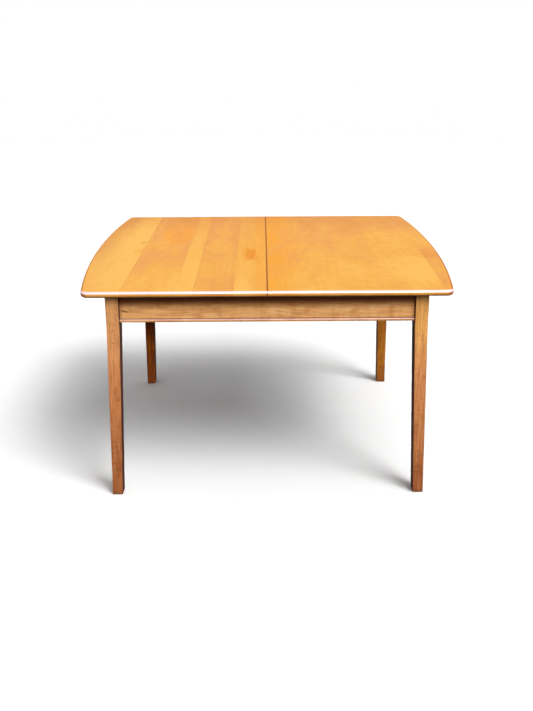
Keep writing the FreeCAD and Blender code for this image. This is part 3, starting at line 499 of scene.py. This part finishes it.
# The back left leg's deeper red wood paints the shade on it.
dressed(["leg_back_left"], leg_wood("russet_shade_leg", RUSSET_SHADE_TONES, RUSSET_SHADE_RUB, bold=0.45))

# ---- parts inside the frame -------------------------------------------------------
# Guide rails, runners, stops, bearers, corner and pivot blocks, cleat and dowels: plain
# sawn and sanded hardwood, glued or screwed in place without stain or lacquer.
BARE_DARK = (0.40, 0.225, 0.105)
BARE_MID = (0.60, 0.385, 0.205)
BARE_LIGHT = (0.71, 0.495, 0.290)


def bare_wood(name, along_axis):
    """Unstained hardwood with the grain along X, Y or Z."""
    finish = Finish(bpy.data.materials.new(name))
    places = dict(zip("XYZ", finish.axes()))
    along = places.pop(along_axis)
    across, depth = places.values()
    patch = finish.cloud(across * 20.0, along * 4.0, depth * 20.0, 3.0, 0.55)
    colour = finish.ramp(patch, ((0.1, BARE_DARK), (0.5, BARE_MID), (0.85, BARE_LIGHT)))
    line = growth_rings(finish, across, along, depth, pith=0.05, pith_depth=0.60, lean=0.03,
                        ring=0.0045)
    colour = finish.mix(line * 0.35, colour, BARE_DARK)
    streak = fibres(finish, across, along, depth)
    colour = finish.mix(finish.fade(streak, *FIBRE_DARK, 0.0, 0.40), colour, BARE_DARK)
    return finish.surface(colour, streak * 0.15 + 0.55, height=streak + line, depth=0.00012)


dressed(named("guide_rail", "runner", "leaf_cleat", "leaf_dowels", "alignment_dowels"),
        bare_wood("bare_wood_x", "X"))
dressed(named("cross_bearer"), bare_wood("bare_wood_y", "Y"))
dressed(named("corner_block", "pivot_block", "slide_stop"), bare_wood("bare_wood_z", "Z"))

# ---- steel fittings ---------------------------------------------------------------
# Zinc-plated bolts with their nuts and washers, the wood screws, and the pivot brackets
# with the pins that turn in them. The plating has gone slightly dull.
ZINC_DULL = (0.36, 0.36, 0.35)
ZINC_BRIGHT = (0.62, 0.62, 0.60)


def plated_steel():
    """Zinc plating with its cloudy bloom."""
    finish = Finish(bpy.data.materials.new("zinc_plated_steel"))
    x, y, z = finish.axes()
    bloom = finish.cloud(x * 140.0, y * 140.0, z * 140.0, 3.0, 0.6)
    colour = finish.ramp(bloom, ((0.30, ZINC_DULL), (0.62, ZINC_BRIGHT)))
    return finish.surface(colour, bloom * 0.25 + 0.25, height=bloom, depth=0.00003,
                          others={"Metallic": 1.0})


dressed(named("leg_bolt", "pivot_bracket", "pivot_pins")
        + [node for node in NODES if "screws" in node], plated_steel())

# ---- leaf hinges and ball catch ---------------------------------------------------
# Brass hinge plates let in flush with the show faces, their pins and screws, and the
# ball catch with its strike, all with the warm dull tone of handled brass.
BRASS_DULL = (0.42, 0.26, 0.09)
BRASS_BRIGHT = (0.78, 0.54, 0.22)


def worn_brass():
    """Brushed brass with a little tarnish."""
    finish = Finish(bpy.data.materials.new("worn_brass"))
    x, y, z = finish.axes()
    tarnish = finish.cloud(x * 90.0, y * 90.0, z * 90.0, 4.0, 0.65)
    brushed = finish.cloud(x * 40.0, y * 1500.0, z * 1500.0)
    colour = finish.ramp(tarnish, ((0.32, BRASS_DULL), (0.60, BRASS_BRIGHT)))
    return finish.surface(colour, tarnish * 0.2 + brushed * 0.1 + 0.2, height=brushed,
                          depth=0.00002, others={"Metallic": 1.0})


dressed(named("leaf_hinge", "leaf_catch") + ["leaf_screws_front", "leaf_screws_back"],
        worn_brass())

# ---- studio -----------------------------------------------------------------------
# A white floor that runs into a white backdrop, under an even sky. A soft key lamp stands
# to the right of the camera. A low front lamp and a weak back lamp are flagged off the
# floor, and two soft overhead lamps reach the floor alone, so that its shadow is deep.
FLOOR_HALF = 60.0
FLOOR_BOUNCE = 0.12
BACKDROP_FROM = (5.0, 8.0)
SKY_LEVEL = 0.09
WHITE = (1.0, 1.0, 1.0)


def seen_by(finish, *rays):
    """1 for the kinds of ray that are named, 0 for the others."""
    found = 0.0
    for ray in rays:
        found = finish.node("ShaderNodeLightPath", out=ray) + found
    return finish.math("MINIMUM", found, 1.0)


floor_mesh = bpy.data.meshes.new("floor")
floor_mesh.from_pydata([(x * FLOOR_HALF, y * FLOOR_HALF, 0.0)
                        for x, y in ((-1, -1), (1, -1), (1, 1), (-1, 1))], [], [(0, 1, 2, 3)])
floor = bpy.data.objects.new("floor", floor_mesh)
bpy.context.scene.collection.objects.link(floor)
paper = Finish(bpy.data.materials.new("white_paper"))
camera_ray = seen_by(paper, "Is Camera Ray")
sheet = paper.node("ShaderNodeBsdfDiffuse", sockets={
    "Color": paper.mix(camera_ray, (FLOOR_BOUNCE,) * 3, WHITE)})
backdrop = paper.node("ShaderNodeEmission", sockets={"Color": (*WHITE, 1.0)})
clear = paper.node("ShaderNodeBsdfTransparent")
floor_x, floor_y, _ = paper.axes()
far_off = paper.fade(span(floor_x, floor_y), *BACKDROP_FROM) * camera_ray
from_above = paper.node("ShaderNodeMixShader", sockets={0: far_off, 1: sheet, 2: backdrop})
from_below = paper.node("ShaderNodeNewGeometry", out="Backfacing")
paper.node("ShaderNodeOutputMaterial", sockets={"Surface": paper.node(
    "ShaderNodeMixShader", sockets={0: from_below, 1: from_above, 2: clear})})
floor_mesh.materials.append(paper.owner)

sky = Finish(bpy.data.worlds.new("even_sky"))
shown = seen_by(sky, "Is Camera Ray", "Is Glossy Ray", "Is Transmission Ray")
light = sky.node("ShaderNodeBackground", sockets={
    "Color": (*WHITE, 1.0), "Strength": shown * (1.0 - SKY_LEVEL) + SKY_LEVEL})
sky.node("ShaderNodeOutputWorld", sockets={"Surface": light})
bpy.context.scene.world = sky.owner


def flag(name, state):
    """A list for a lamp that takes in the floor alone, or all but the floor."""
    listed = bpy.data.collections.new(name)
    listed.objects.link(floor)
    listed.collection_objects[0].light_linking.link_state = state
    return listed


def soft_sun(name, compass, height, spread, level, lights=None):
    """A far lamp; level is what it gives a level white sheet, in shares of full white.

    compass is counted in degrees to the right of the camera's side, and height and
    spread are the lamp's height above the horizon and its width in the sky.
    """
    turn, rise = math.radians(compass), math.radians(height)
    lamp = bpy.data.lights.new(name, "SUN")
    lamp.angle = math.radians(spread)
    lamp.energy = level * math.pi / math.sin(rise)
    holder = bpy.data.objects.new(name, lamp)
    holder.light_linking.receiver_collection = lights
    source = Vector((math.sin(turn) * math.cos(rise), -math.cos(turn) * math.cos(rise),
                     math.sin(rise)))
    holder.rotation_euler = source.to_track_quat("Z", "Y").to_euler()
    bpy.context.scene.collection.objects.link(holder)


off_the_floor = flag("off_the_floor", "EXCLUDE")
floor_alone = flag("floor_alone", "INCLUDE")
soft_sun("key_lamp", compass=50.0, height=50.0, spread=28.0, level=0.42)
soft_sun("front_lamp", compass=10.0, height=34.0, spread=24.0, level=0.53,
         lights=off_the_floor)
soft_sun("back_lamp", compass=215.0, height=16.0, spread=20.0, level=0.08,
         lights=off_the_floor)
soft_sun("high_lamp", compass=50.0, height=64.0, spread=30.0, level=0.30,
         lights=floor_alone)
soft_sun("ceiling_lamp", compass=0.0, height=88.0, spread=120.0, level=0.36,
         lights=floor_alone)

# ---- camera -----------------------------------------------------------------------
# At the eye level of a standing person, a little over two and a half metres from the
# middle of the table, looking slightly down. The render is 533 by 711 pixels.
PICTURE_HIGH = 711.0
FOCAL_PIXELS = 723.0
CENTRE_ABOVE_AXIS = 133.6
EYE = (-0.0174, -2.537, 1.537)
PITCH = math.radians(15.3)
YAW = math.radians(0.42)
ROLL = math.radians(-0.21)
CLIP_END = 100.0

lens = bpy.data.cameras.new("camera")
lens.lens = lens.sensor_width * FOCAL_PIXELS / PICTURE_HIGH
lens.shift_y = -CENTRE_ABOVE_AXIS / PICTURE_HIGH
lens.clip_end = CLIP_END
camera = bpy.data.objects.new("camera", lens)
ahead = Vector((math.sin(YAW) * math.cos(PITCH), math.cos(YAW) * math.cos(PITCH),
                -math.sin(PITCH)))
right = Vector((math.cos(YAW), -math.sin(YAW), 0.0))
up = right.cross(ahead)
level_right = math.cos(ROLL) * right + math.sin(ROLL) * up
level_up = math.cos(ROLL) * up - math.sin(ROLL) * right
camera.matrix_world = Matrix.Translation(EYE) @ Matrix(
    (level_right, level_up, -ahead)).transposed().to_4x4()
bpy.context.scene.collection.objects.link(camera)
bpy.context.scene.camera = camera
bpy.context.scene.view_settings.view_transform = "Standard"
